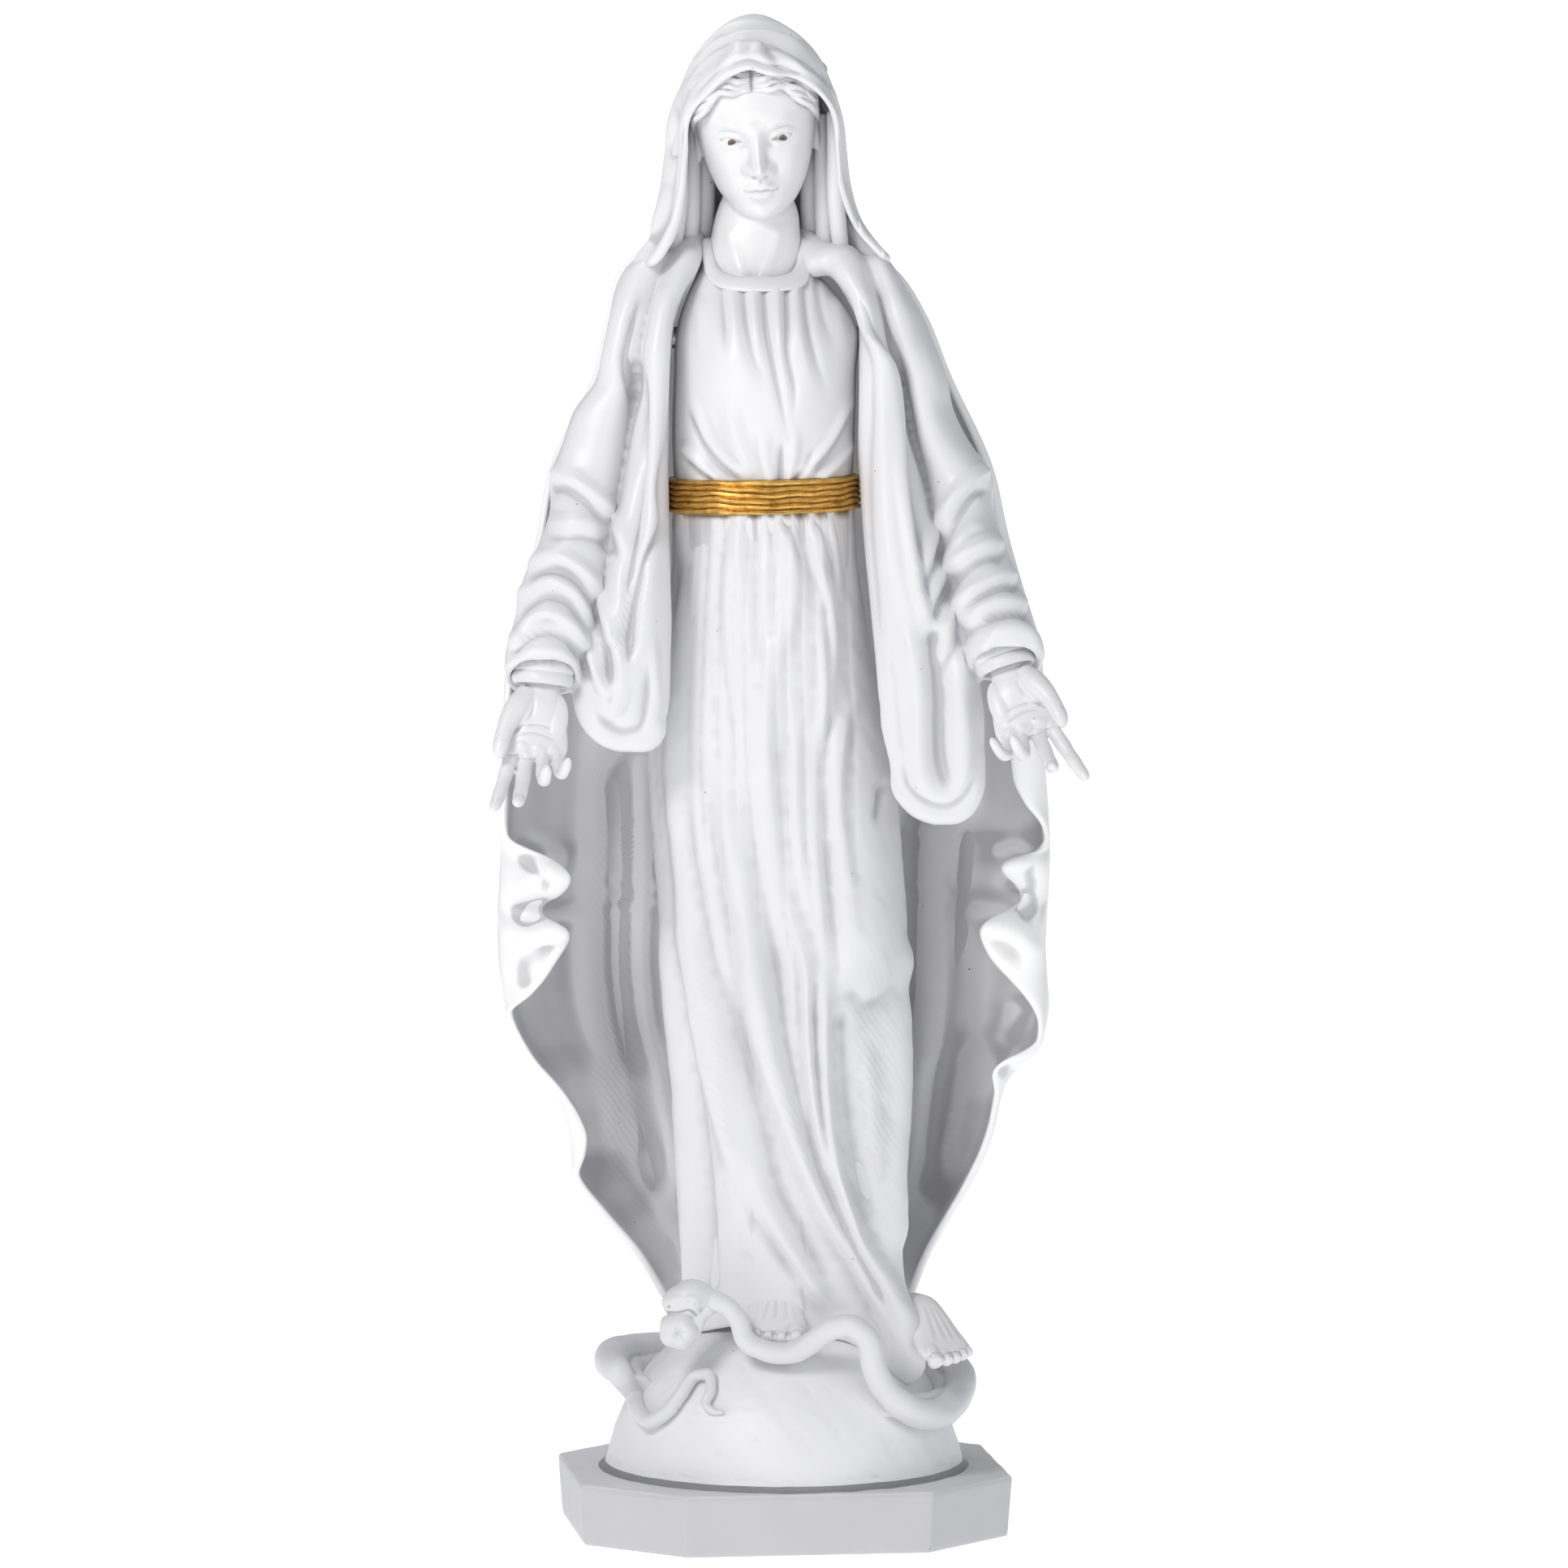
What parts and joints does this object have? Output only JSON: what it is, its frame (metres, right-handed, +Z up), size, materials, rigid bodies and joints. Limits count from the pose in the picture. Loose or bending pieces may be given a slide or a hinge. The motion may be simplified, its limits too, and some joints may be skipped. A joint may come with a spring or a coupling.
{
  "type": "robed figure statue",
  "caption": "Life-size robed woman standing on a half globe and eight-sided plinth, hands open, serpent underfoot, gilded sash; hollow castings on a steel armature.",
  "frame": {"origin": "middle of the plinth's flat underside", "axes": "+Z up, front of the plinth towards -Y, plinth sides along X and Y"},
  "size_m": [0.7049, 0.5426, 1.8],
  "materials": {
    "satin_white": "satin white paint over cast resin and marble dust",
    "gold_leaf": "leaf gilding, burnished",
    "eye_glass": "polished, brown iris fired behind clear front",
    "steel": "mill finish tube",
    "brass": "turned",
    "plywood": "sanded birch plywood"
  },
  "bodies": {
    "statue": {"plinth": "satin_white", "base_board": "plywood", "board_screws": "brass", "globe": "satin_white", "spine_flange": "steel", "flange_bolts": "steel", "flange_nuts": "steel", "spine_tube": "steel", "shoulder_tee": "steel", "shoulder_bar": "steel", "neck_rod": "steel", "arm_tube_right": "steel", "arm_tube_left": "steel", "hand_socket_right": "brass", "hand_socket_left": "brass", "gown_skirt": "satin_white", "gown_bodice": "satin_white", "neckband": "satin_white", "sash": "gold_leaf", "sleeve_right": "satin_white", "sleeve_left": "satin_white", "cuff_right": "satin_white", "cuff_left": "satin_white", "mantle_front_right": "satin_white", "mantle_front_left": "satin_white", "mantle_back": "satin_white", "veil": "satin_white", "hair": "satin_white", "head": "satin_white", "eye_right": "eye_glass", "eye_left": "eye_glass", "foot_right": "satin_white", "foot_left": "satin_white", "serpent": "satin_white", "apple": "satin_white"},
    "right_hand": {"hand_right": "satin_white", "hand_peg_right": "steel"},
    "left_hand": {"hand_left": "satin_white", "hand_peg_left": "steel"}
  },
  "joints": [
    {"name": "right_hand_slide", "type": "slide", "parent": "statue", "child": "right_hand", "axis": [-0.136, -0.3447, -0.9288], "range_m": [0, 0.07]},
    {"name": "left_hand_slide", "type": "slide", "parent": "statue", "child": "left_hand", "axis": [0.218, -0.4937, -0.8419], "range_m": [0, 0.07]}
  ]
}
